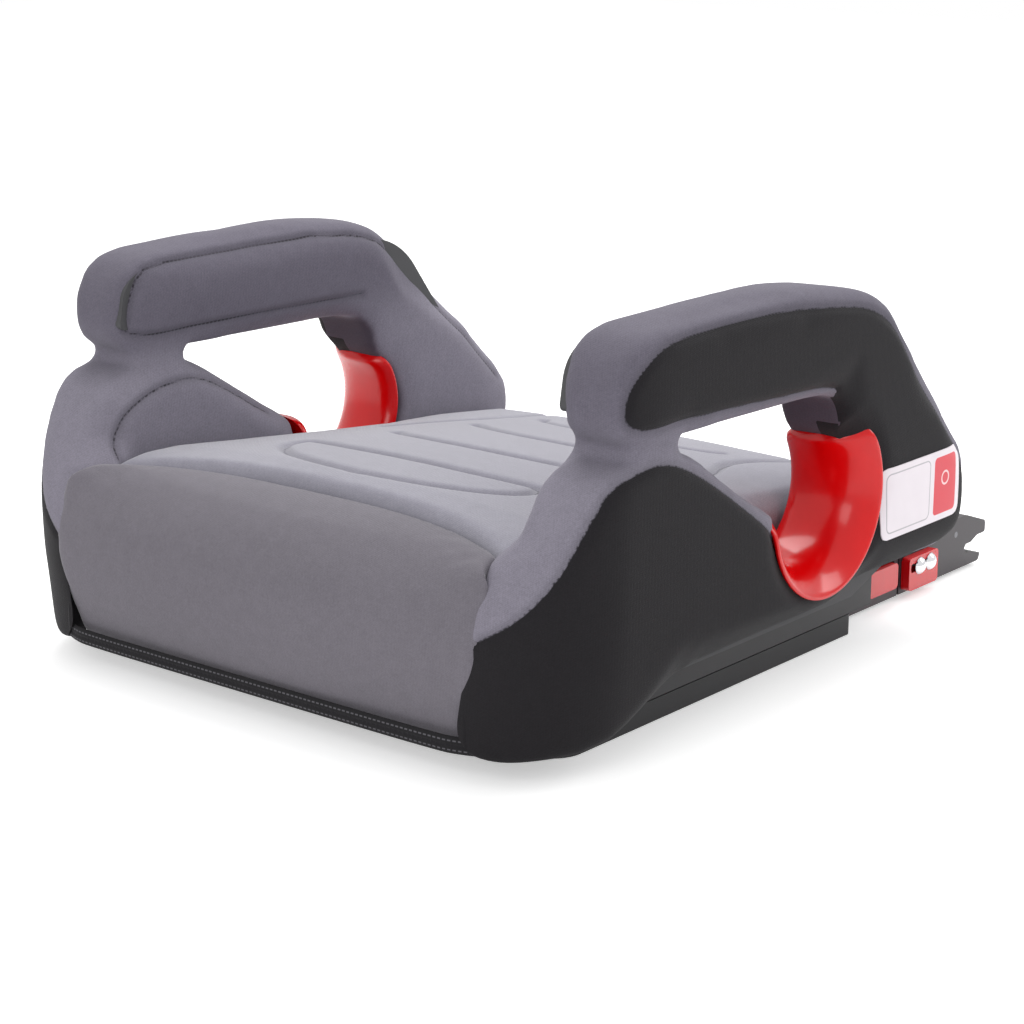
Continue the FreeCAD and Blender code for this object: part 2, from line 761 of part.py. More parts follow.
def make_connector_housing():
    """Forked plastic housing round the arm, with a slit for the hook and a spring pocket."""
    body = new_body("housing_body")
    sketch = body_sketch(body, "housing_side", "YZ_Plane", housing_outline(), {"z": case_inner})
    pad(body, "housing_block", sketch, size("case_width"))
    slit_half = size("hook_thickness") / 2 + size("slide_gap")
    rear = size("housing_rear")
    arm_room = make_box("housing_arm_room", (arm_inner, arm_outer),
                        (size("housing_front") - 1, size("arm_rear")),
                        (size("arm_low"), size("arm_high")))
    slit = make_box("hook_slit", (anchor_x - slit_half, anchor_x + slit_half),
                    (size("arm_rear") - 2, rear + 1),
                    (size("case_floor") + 2, size("case_top") - 3))
    pin = make_rod("housing_pin_bore", (case_inner - 1, size("hook_pivot_y"), size("hook_pivot_z")),
                   size("case_width") + 2, size("hook_pin_radius") + size("rivet_gap"), ALONG_X)
    seat = make_rod("anchor_seat", (case_inner - 1, rear - size("slot_depth") + size("anchor_radius"),
                                    size("slot_middle")),
                    size("case_width") + 2, size("anchor_radius"), ALONG_X)
    form = cut("housing_form", body, arm_room, slit, pin, seat, spring_pocket(),
               *rivet_bores("housing"))
    keep_pair("connector_housing", form)


def tongue_place():
    """Y of the slider tongue's front and rear, and the far end of its spring pocket."""
    front = size("slider_front") + size("slider_travel") + 1
    rear = front + 4
    return front, rear, size("slider_front") + size("slider_length") - 4


def spring_pocket():
    front, rear, end = tongue_place()
    return make_box("spring_pocket", (arm_outer + 2, case_outer + 1),
                    (front - size("slide_gap"), end),
                    (size("slider_low") + 1 - size("slide_gap"),
                     size("slider_low") + 7 + size("slide_gap")))


def make_release_slider():
    """Red slider with one slot that runs along both rivets, and a tongue for its spring."""
    travel, gap = size("slider_travel"), size("slide_gap")
    front = size("slider_front")
    rear = front + size("slider_length")
    low, high = size("slider_low"), size("slider_high")
    first = size("rivet_first")
    last = first + size("rivet_step")
    slot = size("rivet_radius") + gap
    body = new_body("slider_body")
    sketch = body_sketch(body, "slider_outline", "YZ_Plane",
                         [(front, low, 3), (rear, low, 3), (rear, high, 3), (front, high, 3)],
                         {"z": case_outer + gap})
    height = size("rivet_height")
    draw_outline(sketch, [(first - travel - slot, height - slot, 2),
                          (last + slot, height - slot, 2), (last + slot, height + slot, 2),
                          (first - travel - slot, height + slot, 2)])
    pad(body, "slider_plate", sketch, size("slider_thickness"))
    start, end, stop = tongue_place()
    tongue = make_box("slider_tongue", (arm_outer + 2 + gap, case_outer + gap + 1), (start, end),
                      (low + 1, low + 7))
    keep_pair("release_slider", fuse("slider_form", body, tongue))
    middle = (arm_outer + 2 + case_outer) / 2
    keep_pair("release_spring", coil("release_coil", end + size("soft_gap"), stop, 2.0, (middle, low + 4),
                                     ALONG_Y, "y"))


def make_side_rivets():
    """Two rivets through housing and arm, with domed heads outside the slider."""
    gap = size("slide_gap")
    face = case_outer + gap + size("slider_thickness") + 0.3
    rivets = []
    for index in (0, 1):
        place = size("rivet_first") + index * size("rivet_step")
        height = size("rivet_height")
        shank = make_rod(f"rivet_shank_{index}", (case_inner - 1, place, height),
                         face - case_inner + 2, size("rivet_radius"), ALONG_X)
        ball = doc.addObject("Part::Sphere", f"rivet_ball_{index}")
        ball.Placement = Placement(ORIGIN, Rotation(Vector(0, 1, 0), 90))
        bind(ball, Radius=size("rivet_head") * 1.15, Placement__Base__x=face - 3,
             Placement__Base__y=place, Placement__Base__z=height)
        keeper = make_rod(f"rivet_dome_{index}", (face, place, height), as_size(9),
                          size("rivet_head") + 2, ALONG_X)
        dome = common(f"rivet_head_{index}", ball, keeper)
        tail = make_rod(f"rivet_tail_{index}", (case_inner - 2, place, height), as_size(2),
                        size("rivet_head") - 1, ALONG_X)
        rivets.append(fuse(f"rivet_{index}", shank, dome, tail))
    group = doc.addObject("Part::Compound", "rivet_group")
    group.Links = rivets
    keep_pair("side_rivets", group)


def make_latch_hook():
    """Steel hook on a cross pin. It hangs in the upper prong and swings down behind the bar."""
    pivot_y, pivot_z = size("hook_pivot_y"), size("hook_pivot_z")
    reach = size("hook_reach")
    body = new_body("hook_body")
    sketch = body_sketch(body, "hook_outline", "YZ_Plane", [
        (pivot_y - 5, pivot_z - 5, 3), (pivot_y + 5, pivot_z - 6, 3),
        (pivot_y + 12, pivot_z - 4, 3), (pivot_y + reach - 7, pivot_z - 3, 3),
        (pivot_y + reach - 6, pivot_z - 6, 1), (pivot_y + reach, pivot_z - 6, 1),
        (pivot_y + reach, pivot_z + 2, 3), (pivot_y + 4, pivot_z + 6, 4),
        (pivot_y - 5, pivot_z + 6, 3)], {"z": anchor_x - size("hook_thickness") / 2})
    circle(sketch, (pivot_y, pivot_z), size("hook_pin_radius") + size("rivet_gap"))
    pad(body, "hook_plate", sketch, size("hook_thickness"))
    keep_pair("latch_hook", body)
    pin = make_rod("hook_pin_form", (case_inner, pivot_y, pivot_z), size("case_width"),
                   size("hook_pin_radius"), ALONG_X)
    keep_pair("hook_pin", pin)


# ---------------------------------------------------------------- build and export

def find_faults():
    """List every object of the document that did not build, and every bad sub-part."""
    faults = [thing.Name for thing in doc.Objects
              if "Invalid" in thing.State or "Error" in thing.State]
    for node, thing in NODES.items():
        if thing.Shape.isNull() or not thing.Shape.isValid() or not thing.Shape.Solids:
            faults.append(node)
    return faults


def main():
    for make in (make_base_tray, make_upper_shell, make_base_screws, make_side_core_and_cover,
                 make_seat_cushion, make_end_pads, make_cover_binding, make_label,
                 make_belt_guide, make_slide_case, make_adjust_button, make_connector_arm,
                 make_connector_housing, make_release_slider, make_side_rivets,
                 make_latch_hook):
        make()
        doc.recompute()
    faults = find_faults()
    if faults:
        raise RuntimeError("these did not build: " + ", ".join(faults))
    os.makedirs("parts", exist_ok=True)
    for node, thing in NODES.items():
        thing.Shape.exportStep(os.path.join("parts", node + ".step"))
        box = thing.Shape.BoundBox
        print(f"{node:24s} solids {len(thing.Shape.Solids)} volume {thing.Shape.Volume / 1000:8.1f} cm3",
              f"x {box.XMin:.1f}..{box.XMax:.1f} y {box.YMin:.1f}..{box.YMax:.1f}",
              f"z {box.ZMin:.1f}..{box.ZMax:.1f}")


main()
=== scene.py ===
import math

import bpy
import numpy as np
from mathutils import Matrix, Vector
from mathutils.bvhtree import BVHTree


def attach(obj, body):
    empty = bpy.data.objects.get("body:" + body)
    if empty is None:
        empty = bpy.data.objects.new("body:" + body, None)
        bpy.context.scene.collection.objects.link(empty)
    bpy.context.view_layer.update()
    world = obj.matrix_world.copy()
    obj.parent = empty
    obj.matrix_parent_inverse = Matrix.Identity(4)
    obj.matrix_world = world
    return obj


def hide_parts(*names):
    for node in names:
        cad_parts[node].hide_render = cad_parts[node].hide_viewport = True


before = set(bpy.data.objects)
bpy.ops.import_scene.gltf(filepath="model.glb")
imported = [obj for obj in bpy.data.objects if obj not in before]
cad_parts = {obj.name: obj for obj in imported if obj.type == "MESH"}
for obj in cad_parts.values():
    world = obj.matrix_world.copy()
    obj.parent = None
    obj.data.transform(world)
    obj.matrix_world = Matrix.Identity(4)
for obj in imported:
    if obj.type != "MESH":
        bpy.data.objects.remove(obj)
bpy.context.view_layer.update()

# Backless booster seat: padded covers and trim around the fixed mechanism.
# Lengths in the dictionaries are millimetres. X is the sitter's left, Y the rear, Z up.

bpy.ops.object.select_all(action="DESELECT")
mm = 0.001
scene = bpy.context.scene


# ---- camera, floor and light

camera = {"place": (961.5, -1146.5, 488.8), "azimuth": 39.45, "elevation": 15.35, "lens": 89.3}

studio = {
    "floorSize": 9000,
    "floorColour": (250, 250, 250),
    "floorGlow": 0.45,  # seen by the camera and in reflections, and lights nothing
    "worldStrength": 0.62,
    "lamps": [  # name, place, aim, size, watts
        ("topLamp", (-350, 500, 1500), (0, 0, 60), 1100, 17),
        ("frontLamp", (500, -1500, 900), (0, -60, 80), 900, 7),
        ("rearLamp", (900, 1100, 900), (0, 60, 90), 700, 6),
    ],
}


def tint(red, green, blue):
    # screen colour, 0 to 255, to the linear colour that shaders use
    shares = [c / 255 for c in (red, green, blue)]
    linear = [c / 12.92 if c <= 10 / 255 else ((c + 0.055) / 1.055) ** 2.4 for c in shares]
    return (*linear, 1.0)


def aimAt(item, place, aim):
    item.location = Vector(place) * mm
    item.rotation_euler = (Vector(place) - Vector(aim)).to_track_quat("Z", "Y").to_euler()


def makeCamera():
    data = bpy.data.cameras.new("camera")
    data.lens = camera["lens"]
    data.sensor_width = 36
    item = bpy.data.objects.new("camera", data)
    scene.collection.objects.link(item)
    turn, lift = math.radians(camera["azimuth"]), math.radians(camera["elevation"])
    back = Vector((math.sin(turn) * math.cos(lift), -math.cos(turn) * math.cos(lift), math.sin(lift)))
    item.location = Vector(camera["place"]) * mm
    item.rotation_euler = back.to_track_quat("Z", "Y").to_euler()
    scene.camera = item


def makeLamps():
    for name, place, aim, size, power in studio["lamps"]:
        data = bpy.data.lights.new(name, "AREA")
        data.energy = power
        data.size = size * mm
        item = bpy.data.objects.new(name, data)
        scene.collection.objects.link(item)
        aimAt(item, place, aim)


# ---- shader wiring

class Wire:
    # a socket that Python's own operators can work on
    def __init__(self, shader, socket):
        self.shader = shader
        self.socket = socket

    def maths(self, operation, *others):
        inputs = {index: value for index, value in enumerate((self, *others))}
        return self.shader.node("ShaderNodeMath", {"operation": operation}, inputs)

    def __add__(self, other):
        return self.maths("ADD", other)

    def __sub__(self, other):
        return self.maths("SUBTRACT", other)

    def __mul__(self, other):
        return self.maths("MULTIPLY", other)

    def __truediv__(self, other):
        return self.maths("DIVIDE", other)

    def __radd__(self, other):
        return self + other

    def __rmul__(self, other):
        return self * other

    def __rsub__(self, other):
        return (self * -1) + other

    def within(self, low, high):
        # 0 below low, 1 above high, smooth between
        settings = {"interpolation_type": "SMOOTHSTEP"}
        inputs = {"Value": self, "From Min": low, "From Max": high}
        return self.shader.node("ShaderNodeMapRange", settings, inputs)


class Shader:
    def __init__(self, name):
        self.material = bpy.data.materials.new(name)
        self.material.use_nodes = True
        self.tree = self.material.node_tree
        self.surface = self.tree.nodes["Principled BSDF"]

    def node(self, kind, settings=None, inputs=None, output=0):
        made = self.tree.nodes.new(kind)
        for key, value in (settings or {}).items():
            setattr(made, key, value)
        self.feed(made, inputs or {})
        return Wire(self, made.outputs[output])

    def feed(self, target, inputs):
        for key, value in inputs.items():
            if isinstance(value, Wire):
                self.tree.links.new(value.socket, target.inputs[key])
            else:
                target.inputs[key].default_value = value

    def place(self):
        return self.node("ShaderNodeTexCoord", output=3)

    def attribute(self, name):
        return self.node("ShaderNodeAttribute", {"attribute_name": name}, output=2)

    def noise(self, scale, detail=2.0, roughness=0.5):
        inputs = {"Vector": self.place(), "Scale": scale, "Detail": detail, "Roughness": roughness}
        return self.node("ShaderNodeTexNoise", inputs=inputs)

    def mix(self, share, first, second):
        return self.node("ShaderNodeMix", {"data_type": "RGBA"}, {0: share, 6: first, 7: second}, output=2)

    def bump(self, height, strength, distance, under=None):
        inputs = {"Height": height, "Strength": strength, "Distance": distance}
        if under:
            inputs["Normal"] = under
        return self.node("ShaderNodeBump", inputs=inputs)


fabric = {
    "threadScale": 950,  # threads per metre, about
    "mottleScale": 130,
    "sheenRoughness": 0.45,
    "roughness": 0.88,
    "stitchLength": 3.2,
    "stitchOffset": 2.6,
    # the dark seam line, and the colour that the painted shade in each seam's crease darkens towards
    "seamColour": (34, 32, 36),
    # painted shade for the gap's rear wall, which is the grey bolster cloth
    "gapShadeColour": (52, 42, 53),
}


def knit(shader, colour, depth):
    # a fine knit: diagonal ribs crossed by rows, broken up by fibre noise; gives its colour and its height
    split = shader.node("ShaderNodeSeparateXYZ", inputs={"Vector": shader.place()})
    across = Wire(shader, split.socket)
    along = Wire(shader, split.socket.node.outputs[1])
    up = Wire(shader, split.socket.node.outputs[2])
    pitch = fabric["threadScale"] * 2 * math.pi
    ribs = ((across + along * 1.03 + up * 0.9) * pitch * 0.62).maths("SINE")
    rows = ((up * 1.05 - along * 0.35 - across * 0.8) * pitch * 0.5).maths("SINE")
    fibre = shader.noise(fabric["threadScale"], 3.0, 0.7)
    mottle = shader.noise(fabric["mottleScale"], 3.0, 0.6)
    broad = shader.noise(9, 2.0, 0.5)
    weave = ribs * rows * 0.25 + (fibre - 0.5) * 1.5
    level = weave * depth + (mottle - 0.5) * 0.18 + (broad - 0.5) * 0.12
    dark = tuple(c * 0.62 for c in colour[:3]) + (1.0,)
    light = tuple(min(1, c * 1.38) for c in colour[:3]) + (1.0,)
    return shader.mix((level + 0.5).within(0.0, 1.0), dark, light), weave


def finishFabric(shader, colour, weave, sheen, under=None):
    shader.feed(shader.surface, {
        "Base Color": colour,
        "Roughness": fabric["roughness"],
        "Sheen Weight": sheen,
        "Sheen Roughness": fabric["sheenRoughness"],
        "Specular IOR Level": 0.2,
        "Normal": shader.bump(weave, 0.35, 0.0004, under),
    })
    return shader.material


def stitched(shader, colour, seam, run, pale):
    # a dark seam with its thread, painted shade darkening the pinch up to 6 mm either side, and where pale
    # is above 0 a row of stitches beside it
    dash = (run / (fabric["stitchLength"] * mm)).maths("FRACT")
    thread = (dash - 0.5).maths("ABSOLUTE").within(0.36, 0.26)
    line = (seam * -1).within(-0.0011, -0.0002)
    creaseShade = (seam * -1).within(-0.006, -0.0006)
    beside = ((seam - fabric["stitchOffset"] * mm).maths("ABSOLUTE") * -1).within(-0.0006, -0.0002) * thread
    # painted shade in the seam's crease, then the dark seam line with its thread
    shade = shader.mix(creaseShade * 0.22, colour, tint(*fabric["seamColour"]))
    shade = shader.mix(line * (0.45 + thread * 0.4), shade, tint(*fabric["seamColour"]))
    return shader.mix(beside * pale, shade, tint(170, 168, 176)), beside * pale - line * (0.6 + thread * 0.4)


def plainFabric(name, colour, depth, sheen, pale=0.0):
    shader = Shader(name)
    cloth, weave = knit(shader, tint(*colour), depth)
    shade, relief = stitched(shader, cloth, shader.attribute("seam"), shader.attribute("run"), pale)
    return finishFabric(shader, shade, weave, sheen, shader.bump(relief, 0.5, 0.0006))


def sideFabric(name, outside, lower, upper, depth, sheen):
    # cloths sewn together: the outside panel where the attribute panel is above 0, and elsewhere the grey
    # bolster cloth, darkened by painted shade on the armrest and darkest, with painted shade, where an
    # attribute marks the gap's rear wall
    shader = Shader(name)
    dark, weave = knit(shader, tint(*outside), depth * 1.3)
    bolster, other = knit(shader, tint(*lower), depth)
    split = shader.node("ShaderNodeSeparateXYZ", inputs={"Vector": shader.place()}, output=2)
    # painted shade: from 155 to 200 mm up, the bolster cloth is multiplied down to the upper colour for the
    # weaker light on the armrest
    wearAndShade = tuple(a / b for a, b in zip(tint(*upper)[:3], tint(*lower)[:3])) + (1.0,)
    armShadeMask = split.within(0.155, 0.2)
    armrest = shader.node("ShaderNodeMix", {"data_type": "RGBA", "blend_type": "MULTIPLY"},
                          {0: armShadeMask, 6: bolster, 7: wearAndShade}, output=2)
    # painted shade: the gap's rear wall is the grey cloth in shade, painted dark purple
    armrest = shader.mix(shader.attribute("gapShade") * 0.8, armrest, tint(*fabric["gapShadeColour"]))
    share = shader.attribute("panel").within(-0.0004, 0.0004)
    cloth = shader.mix(share, armrest, dark)
    shade, relief = stitched(shader, cloth, shader.attribute("seam"), shader.attribute("run"), 0.0)
    return finishFabric(shader, shade, weave, sheen, shader.bump(relief, 0.5, 0.0006))


def moulded(name, colour, roughness, grain, coat=0.0):
    # injection-moulded plastic with a fine grain and slightly rubbed, uneven gloss
    shader = Shader(name)
    fine = shader.noise(1500, 2.0, 0.6)
    broad = shader.noise(28, 3.0, 0.6)
    base = tint(*colour)
    wearAndShade = tuple(min(1, c * 1.25 + 0.004) for c in base[:3]) + (1.0,)
    shader.feed(shader.surface, {
        "Base Color": shader.mix(broad.within(0.35, 0.8) * 0.5, base, wearAndShade),
        "Roughness": broad * 0.14 + (roughness - 0.07),
        "Specular IOR Level": 0.35,
        "Coat Weight": coat,
        "Coat Roughness": 0.05,
        "Normal": shader.bump(fine, grain, 0.0002),
    })
    return shader.material


def metal(name, colour, roughness, streak):
    shader = Shader(name)
    brushed = shader.node("ShaderNodeMapping", inputs={"Vector": shader.place(), "Scale": streak})
    lines = shader.node("ShaderNodeTexNoise", inputs={"Vector": brushed, "Scale": 60, "Detail": 3.0})
    base = tint(*colour)
    dull = tuple(c * 0.75 for c in base[:3]) + (1.0,)
    shader.feed(shader.surface, {
        "Base Color": shader.mix(lines, dull, base),
        "Metallic": 1.0,
        "Roughness": lines * 0.16 + (roughness - 0.08),
    })
    return shader.material


# ---- mesh helpers

def selectOnly(piece):
    bpy.ops.object.select_all(action="DESELECT")
    piece.select_set(True)
    bpy.context.view_layer.objects.active = piece


def newPiece(name, points, edges=(), faces=()):
    mesh = bpy.data.meshes.new(name)
    mesh.from_pydata([tuple(c * mm for c in p) for p in points], edges, faces)
    piece = bpy.data.objects.new(name, mesh)
    scene.collection.objects.link(piece)
    selectOnly(piece)
    return piece


def readPoints(piece):
    flat = np.empty(len(piece.data.vertices) * 3)
    piece.data.vertices.foreach_get("co", flat)
    return flat.reshape(-1, 3) / mm


def writePoints(piece, points):
    piece.data.vertices.foreach_set("co", (points * mm).ravel())
    piece.data.update()


def readNormals(piece):
    flat = np.empty(len(piece.data.vertices) * 3, dtype=np.float32)
    piece.data.vertex_normals.foreach_get("vector", flat)
    return flat.reshape(-1, 3)


def setAttribute(piece, name, values):
    attribute = piece.data.attributes.new(name, "FLOAT", "POINT")
    attribute.data.foreach_set("value", np.asarray(values, dtype=np.float32))


def applyModifier(piece, kind, **settings):
    selectOnly(piece)
    modifier = piece.modifiers.new("step", kind)
    for key, value in settings.items():
        setattr(modifier, key, value)
    bpy.ops.object.modifier_apply(modifier=modifier.name)


def faceOutward(piece):
    selectOnly(piece)
    bpy.ops.object.mode_set(mode="EDIT")
    bpy.ops.mesh.select_all(action="SELECT")
    bpy.ops.mesh.normals_make_consistent(inside=False)
    bpy.ops.object.mode_set(mode="OBJECT")


def smoothShade(piece, degrees=50):
    selectOnly(piece)
    bpy.ops.object.shade_smooth_by_angle(angle=math.radians(degrees))


def roundedOutline(corners, step=10):
    # corner points with a radius each, to points along straight runs and arcs
    outline = []
    for index, (first, second, radius) in enumerate(corners):
        here = Vector((first, second))
        back = (Vector(corners[index - 1][:2]) - here).normalized()
        ahead = (Vector(corners[(index + 1) % len(corners)][:2]) - here).normalized()
        half = back.angle(ahead) / 2
        center = here + (back + ahead).normalized() * radius / math.sin(half)
        start = here + back * radius / math.tan(half) - center
        end = here + ahead * radius / math.tan(half) - center
        opening = math.atan2(start.y, start.x)
        turn = (math.atan2(end.y, end.x) - opening + math.pi) % (2 * math.pi) - math.pi
        count = max(1, round(abs(math.degrees(turn)) / step))
        for part in range(count + 1):
            angle = opening + turn * part / count
            outline.append((center.x + radius * math.cos(angle), center.y + radius * math.sin(angle)))
    return outline


def smoothPath(points, step=3.0):
    # a soft curve through given points
    points = np.array(points, float)
    ends = np.vstack([2 * points[0] - points[1], points, 2 * points[-1] - points[-2]])
    path = []
    for a, b, c, d in zip(ends[:-3], ends[1:-2], ends[2:-1], ends[3:]):
        count = max(1, round(np.linalg.norm(c - b) / step))
        for t in np.arange(count) / count:
            path.append(0.5 * (2 * b + (c - a) * t + (2 * a - 5 * b + 4 * c - d) * t * t
                               + (3 * b - a - 3 * c + d) * t ** 3))
    return np.array(path + [points[-1]])


def seamDistance(points, path):
    # each point's distance to the path, and how far along the path that is
    nearest = np.full(len(points), 1e6)
    run = np.zeros(len(points))
    length = 0.0
    for start, end in zip(path[:-1], path[1:]):
        step = end - start
        size = np.linalg.norm(step)
        share = np.clip((points - start) @ step / size ** 2, 0, 1)
        gap = np.linalg.norm(points - start - share[:, None] * step, axis=1)
        nearer = gap < nearest
        nearest[nearer] = gap[nearer]
        run[nearer] = length + share[nearer] * size
        length += size
    return nearest, run


def insideOutline(u, v, outline):
    inside = np.zeros(len(u), bool)
    for (u0, v0), (u1, v1) in zip(outline, np.roll(outline, -1, axis=0)):
        if v0 == v1:
            continue
        crosses = (v0 > v) != (v1 > v)
        inside ^= crosses & (u < (u1 - u0) * (v - v0) / (v1 - v0) + u0)
    return inside


def pressSeams(piece, seams, depth, width):
    # pulls the cloth in along seam lines and records how near each point is, for the thread
    points = readPoints(piece)
    normals = readNormals(piece)
    nearest = np.full(len(points), 1e6)
    run = np.zeros(len(points))
    for path in seams:
        gap, along = seamDistance(points, path)
        nearer = gap < nearest
        nearest[nearer] = gap[nearer]
        run[nearer] = along[nearer]
    dip = np.exp(-(nearest / width) ** 2) * depth
    writePoints(piece, points - normals * dip[:, None])
    setAttribute(piece, "seam", nearest * mm)
    setAttribute(piece, "run", run * mm)


def ontoSurface(piece, path):
    # moves a path's points onto the piece's surface
    tree = BVHTree.FromObject(piece, bpy.context.evaluated_depsgraph_get())
    return np.array([tree.find_nearest(Vector(point) * mm)[0] for point in path]) / mm


def swell(piece, pressure, cap, hold=None):
    # air pressure in a cloth skin rounds the pad out; no point moves further than cap
    start = readPoints(piece)
    cloth = piece.modifiers.new("cloth", "CLOTH")
    cloth.settings.quality = 6
    cloth.settings.mass = 0.3
    cloth.settings.tension_stiffness = 14
    cloth.settings.compression_stiffness = 14
    cloth.settings.bending_stiffness = 0.6
    cloth.settings.use_pressure = True
    cloth.settings.uniform_pressure_force = pressure
    cloth.settings.effector_weights.gravity = 0
    cloth.point_cache.frame_start = 1
    cloth.point_cache.frame_end = 20
    for number in range(1, 21):
        scene.frame_set(number)
    graph = bpy.context.evaluated_depsgraph_get()
    shaped = bpy.data.meshes.new_from_object(piece.evaluated_get(graph))
    flat = np.empty(len(shaped.vertices) * 3)
    shaped.vertices.foreach_get("co", flat)
    moved = flat.reshape(-1, 3) / mm - start
    piece.modifiers.remove(cloth)
    bpy.data.meshes.remove(shaped)
    scene.frame_set(1)
    size = np.linalg.norm(moved, axis=1, keepdims=True) + 1e-9
    moved *= np.minimum(1, cap / size)
    if hold is not None:
        moved *= hold(start)[:, None]
    print("swelled", piece.name, "by up to", round(float(np.linalg.norm(moved, axis=1).max()), 1), "mm")
    writePoints(piece, start + moved)


def addSoft(piece, slot, fill, *nodes):
    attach(piece, "root")
    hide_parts(*nodes)


def soften(low, high, values):
    share = np.clip((values - low) / (high - low), 0, 1)
    return share * share * (3 - 2 * share)


# ---- side covers: bolster, pillar and armrest in one padded C

sideCover = {
    "inner": 159.5,
    "outer": 212.5,
    "innerEdge": 17,
    "outerEdge": 9,
    "footEdge": 12,  # added to the outer edge along the foot
    "voxel": 4.0,
    "frontRound": 62,
    "rearRound": 18,
    "tipRound": 40,
    "frontEnd": -205,
    "rearEnd": 219,
    "tipEnd": -157,
    "tipPull": 26,
    "gapEdge": 8,  # taken off the inner edge round the gap's rear wall
    "armFloor": 172,  # above this height a point belongs to the armrest
    "middle": 187,
    "guideReach": (44, 48, 52, 56, 62, 74),  # distance from the belt guide's axis
    "guideOuter": (199, 204.5, 208.8, 211.5, 213.4, 220),
    "guideInner": (163, 160, 157.5, 155, 150, 140),
    "outline": [  # y, z, radius; three of the corners make the belt guide's round seat
        (-205, 13, 8), (-150, 17, 80), (-85, 40, 80), (70, 42, 50), (100, 52, 40), (206, 52, 22),
        (221, 98, 45), (107, 226, 70), (32, 236, 90), (-141, 236, 38), (-151, 178, 22), (70, 171, 22),
        (71, 147.4, 14), (93, 129.1, 45), (93, 65, 45), (3, 65, 45), (3, 110, 6), (-8, 118, 30),
        (-94, 173, 62), (-156, 166, 45), (-205, 90, 60),
    ],
    "bolsterSeam": [
        (163, -207, 80), (188, -203, 95), (205, -189, 117), (214, -169, 149), (214, -157, 160),
        (214, -135, 165.5), (214, -101, 161), (214, -59, 140), (214, -24, 116), (214, 0, 98),
    ],
    "armSeam": [
        (213, 57, 172), (213, 42, 176), (213, 9, 178), (213, -50, 182.5), (213, -108, 184), (212, -130, 185),
        (211, -141, 191), (211, -140, 203),
        (211, -131, 214), (212, -112, 225), (212, -80, 229), (212, -20, 229.5), (212, 35, 225),
        (213, 85, 217), (213, 117, 199), (213, 150, 162), (213, 188, 123), (211, 202, 104),
        (210, 207, 86), (211, 204, 62), (212, 190, 49), (213, 160, 38),
    ],
    "innerBolsterSeam": [
        (159, -163, 112), (159, -157, 131), (159, -144, 145), (159, -120, 154), (159, -90, 155),
        (159, -55, 146), (159, -20, 128),
    ],
    "innerArmSeam": [
        (160, 60, 186), (160, -60, 186), (160, -135, 186), (160, -146, 193), (160, -143, 208),
        (160, -130, 227), (160, -108, 232), (160, 20, 231.5), (160, 88, 217), (160, 124, 193),
        (160, 160, 151), (160, 200, 108),
    ],
}


def planRounding(points):
    # rounds the cover as seen from above: outer front and rear corners, and both sides of the armrest tip
    cover = sideCover
    x, y, z = points.T
    inner, outer = cover["inner"], cover["outer"]
    arm = soften(cover["armFloor"] - 2, cover["armFloor"] + 2, z) * (y < 60)

    def share(depth, radius):
        return np.sqrt(1 - np.clip((radius - depth) / radius, 0, 1) ** 2)

    front = cover["frontRound"] * (1 - share(y - cover["frontEnd"], cover["frontRound"])) * (1 - arm)
    rearRound = cover["rearRound"] + 20 * soften(120, 160, z)
    rear = rearRound * (1 - share(cover["rearEnd"] - y, rearRound))
    tip = cover["tipPull"] * (1 - share(y - cover["tipEnd"], cover["tipRound"])) * arm
    part = (x - inner) / (outer - inner)
    # the inner side reaches in behind the front pad
    tucked = 4 + 3 * soften(40, 80, z) + 6 * soften(75, 95, z)
    tucked = tucked * (1 - soften(-175, -140, y)) * (1 - soften(115, 132, z))
    low = 6 * (1 - soften(15, 70, z)) * (1 - soften(-190, -80, y))
    x = x - part * (front + rear + low + 0.6 * tip) + (1 - part) * (tip - tucked)
    # the pillar's inner edge leans forward at its top and back at its foot
    lean = np.clip(1 - part, 0, 1) ** 2.2 * soften(60, 125, y)
    top = lean * soften(130, 215, z)
    return np.column_stack([x, y - 18 * top + 8 * lean * (1 - soften(90, 140, z)), z - 12 * top])


def rollEdges(points, outline):
    # turns the slab's square rims into quarter rounds, larger towards the seat than outside
    cover = sideCover
    flat = points[:, 1:]
    nearest = np.full(len(points), 1e6)
    foot = np.zeros_like(flat)
    for start, end in zip(outline, np.roll(outline, -1, axis=0)):
        step = end - start
        share = np.clip((flat - start) @ step / (step @ step), 0, 1)
        place = start + share[:, None] * step
        gap = np.linalg.norm(flat - place, axis=1)
        nearer = gap < nearest
        nearest[nearer] = gap[nearer]
        foot[nearer] = place[nearer]
    inward = (flat - foot) / np.maximum(nearest, 1e-6)[:, None]
    result = points.copy()
    result[nearest < 3, 1:] = foot[nearest < 3]
    low = 1 - soften(45, 75, flat[:, 1])
    for side, sign, radius in (("inner", 1, cover["innerEdge"]), ("outer", -1, cover["outerEdge"])):
        depth = sign * (points[:, 0] - cover[side])
        if side == "outer":
            radius = radius + cover["footEdge"] * low * soften(-150, -90, flat[:, 0])
        else:
            ease = soften(30, 65, foot[:, 0]) * (1 - soften(100, 120, foot[:, 0]))
            radius = radius - cover["gapEdge"] * ease * (1 - soften(176, 195, foot[:, 1]))
        along = depth - nearest
        rolled = (depth < radius * 1.6) & (np.abs(along) < radius) & (np.minimum(depth, nearest) < 6)
        angle = (along / radius + 1) * math.pi / 4
        deep = radius * (1 - np.cos(angle))
        inset = radius * (1 - np.sin(angle))
        moved = foot + inward * inset[:, None]
        result[rolled, 0] = (cover[side] + sign * deep)[rolled]
        rolled &= nearest > 0.3
        result[rolled, 1:] = moved[rolled]
    return result


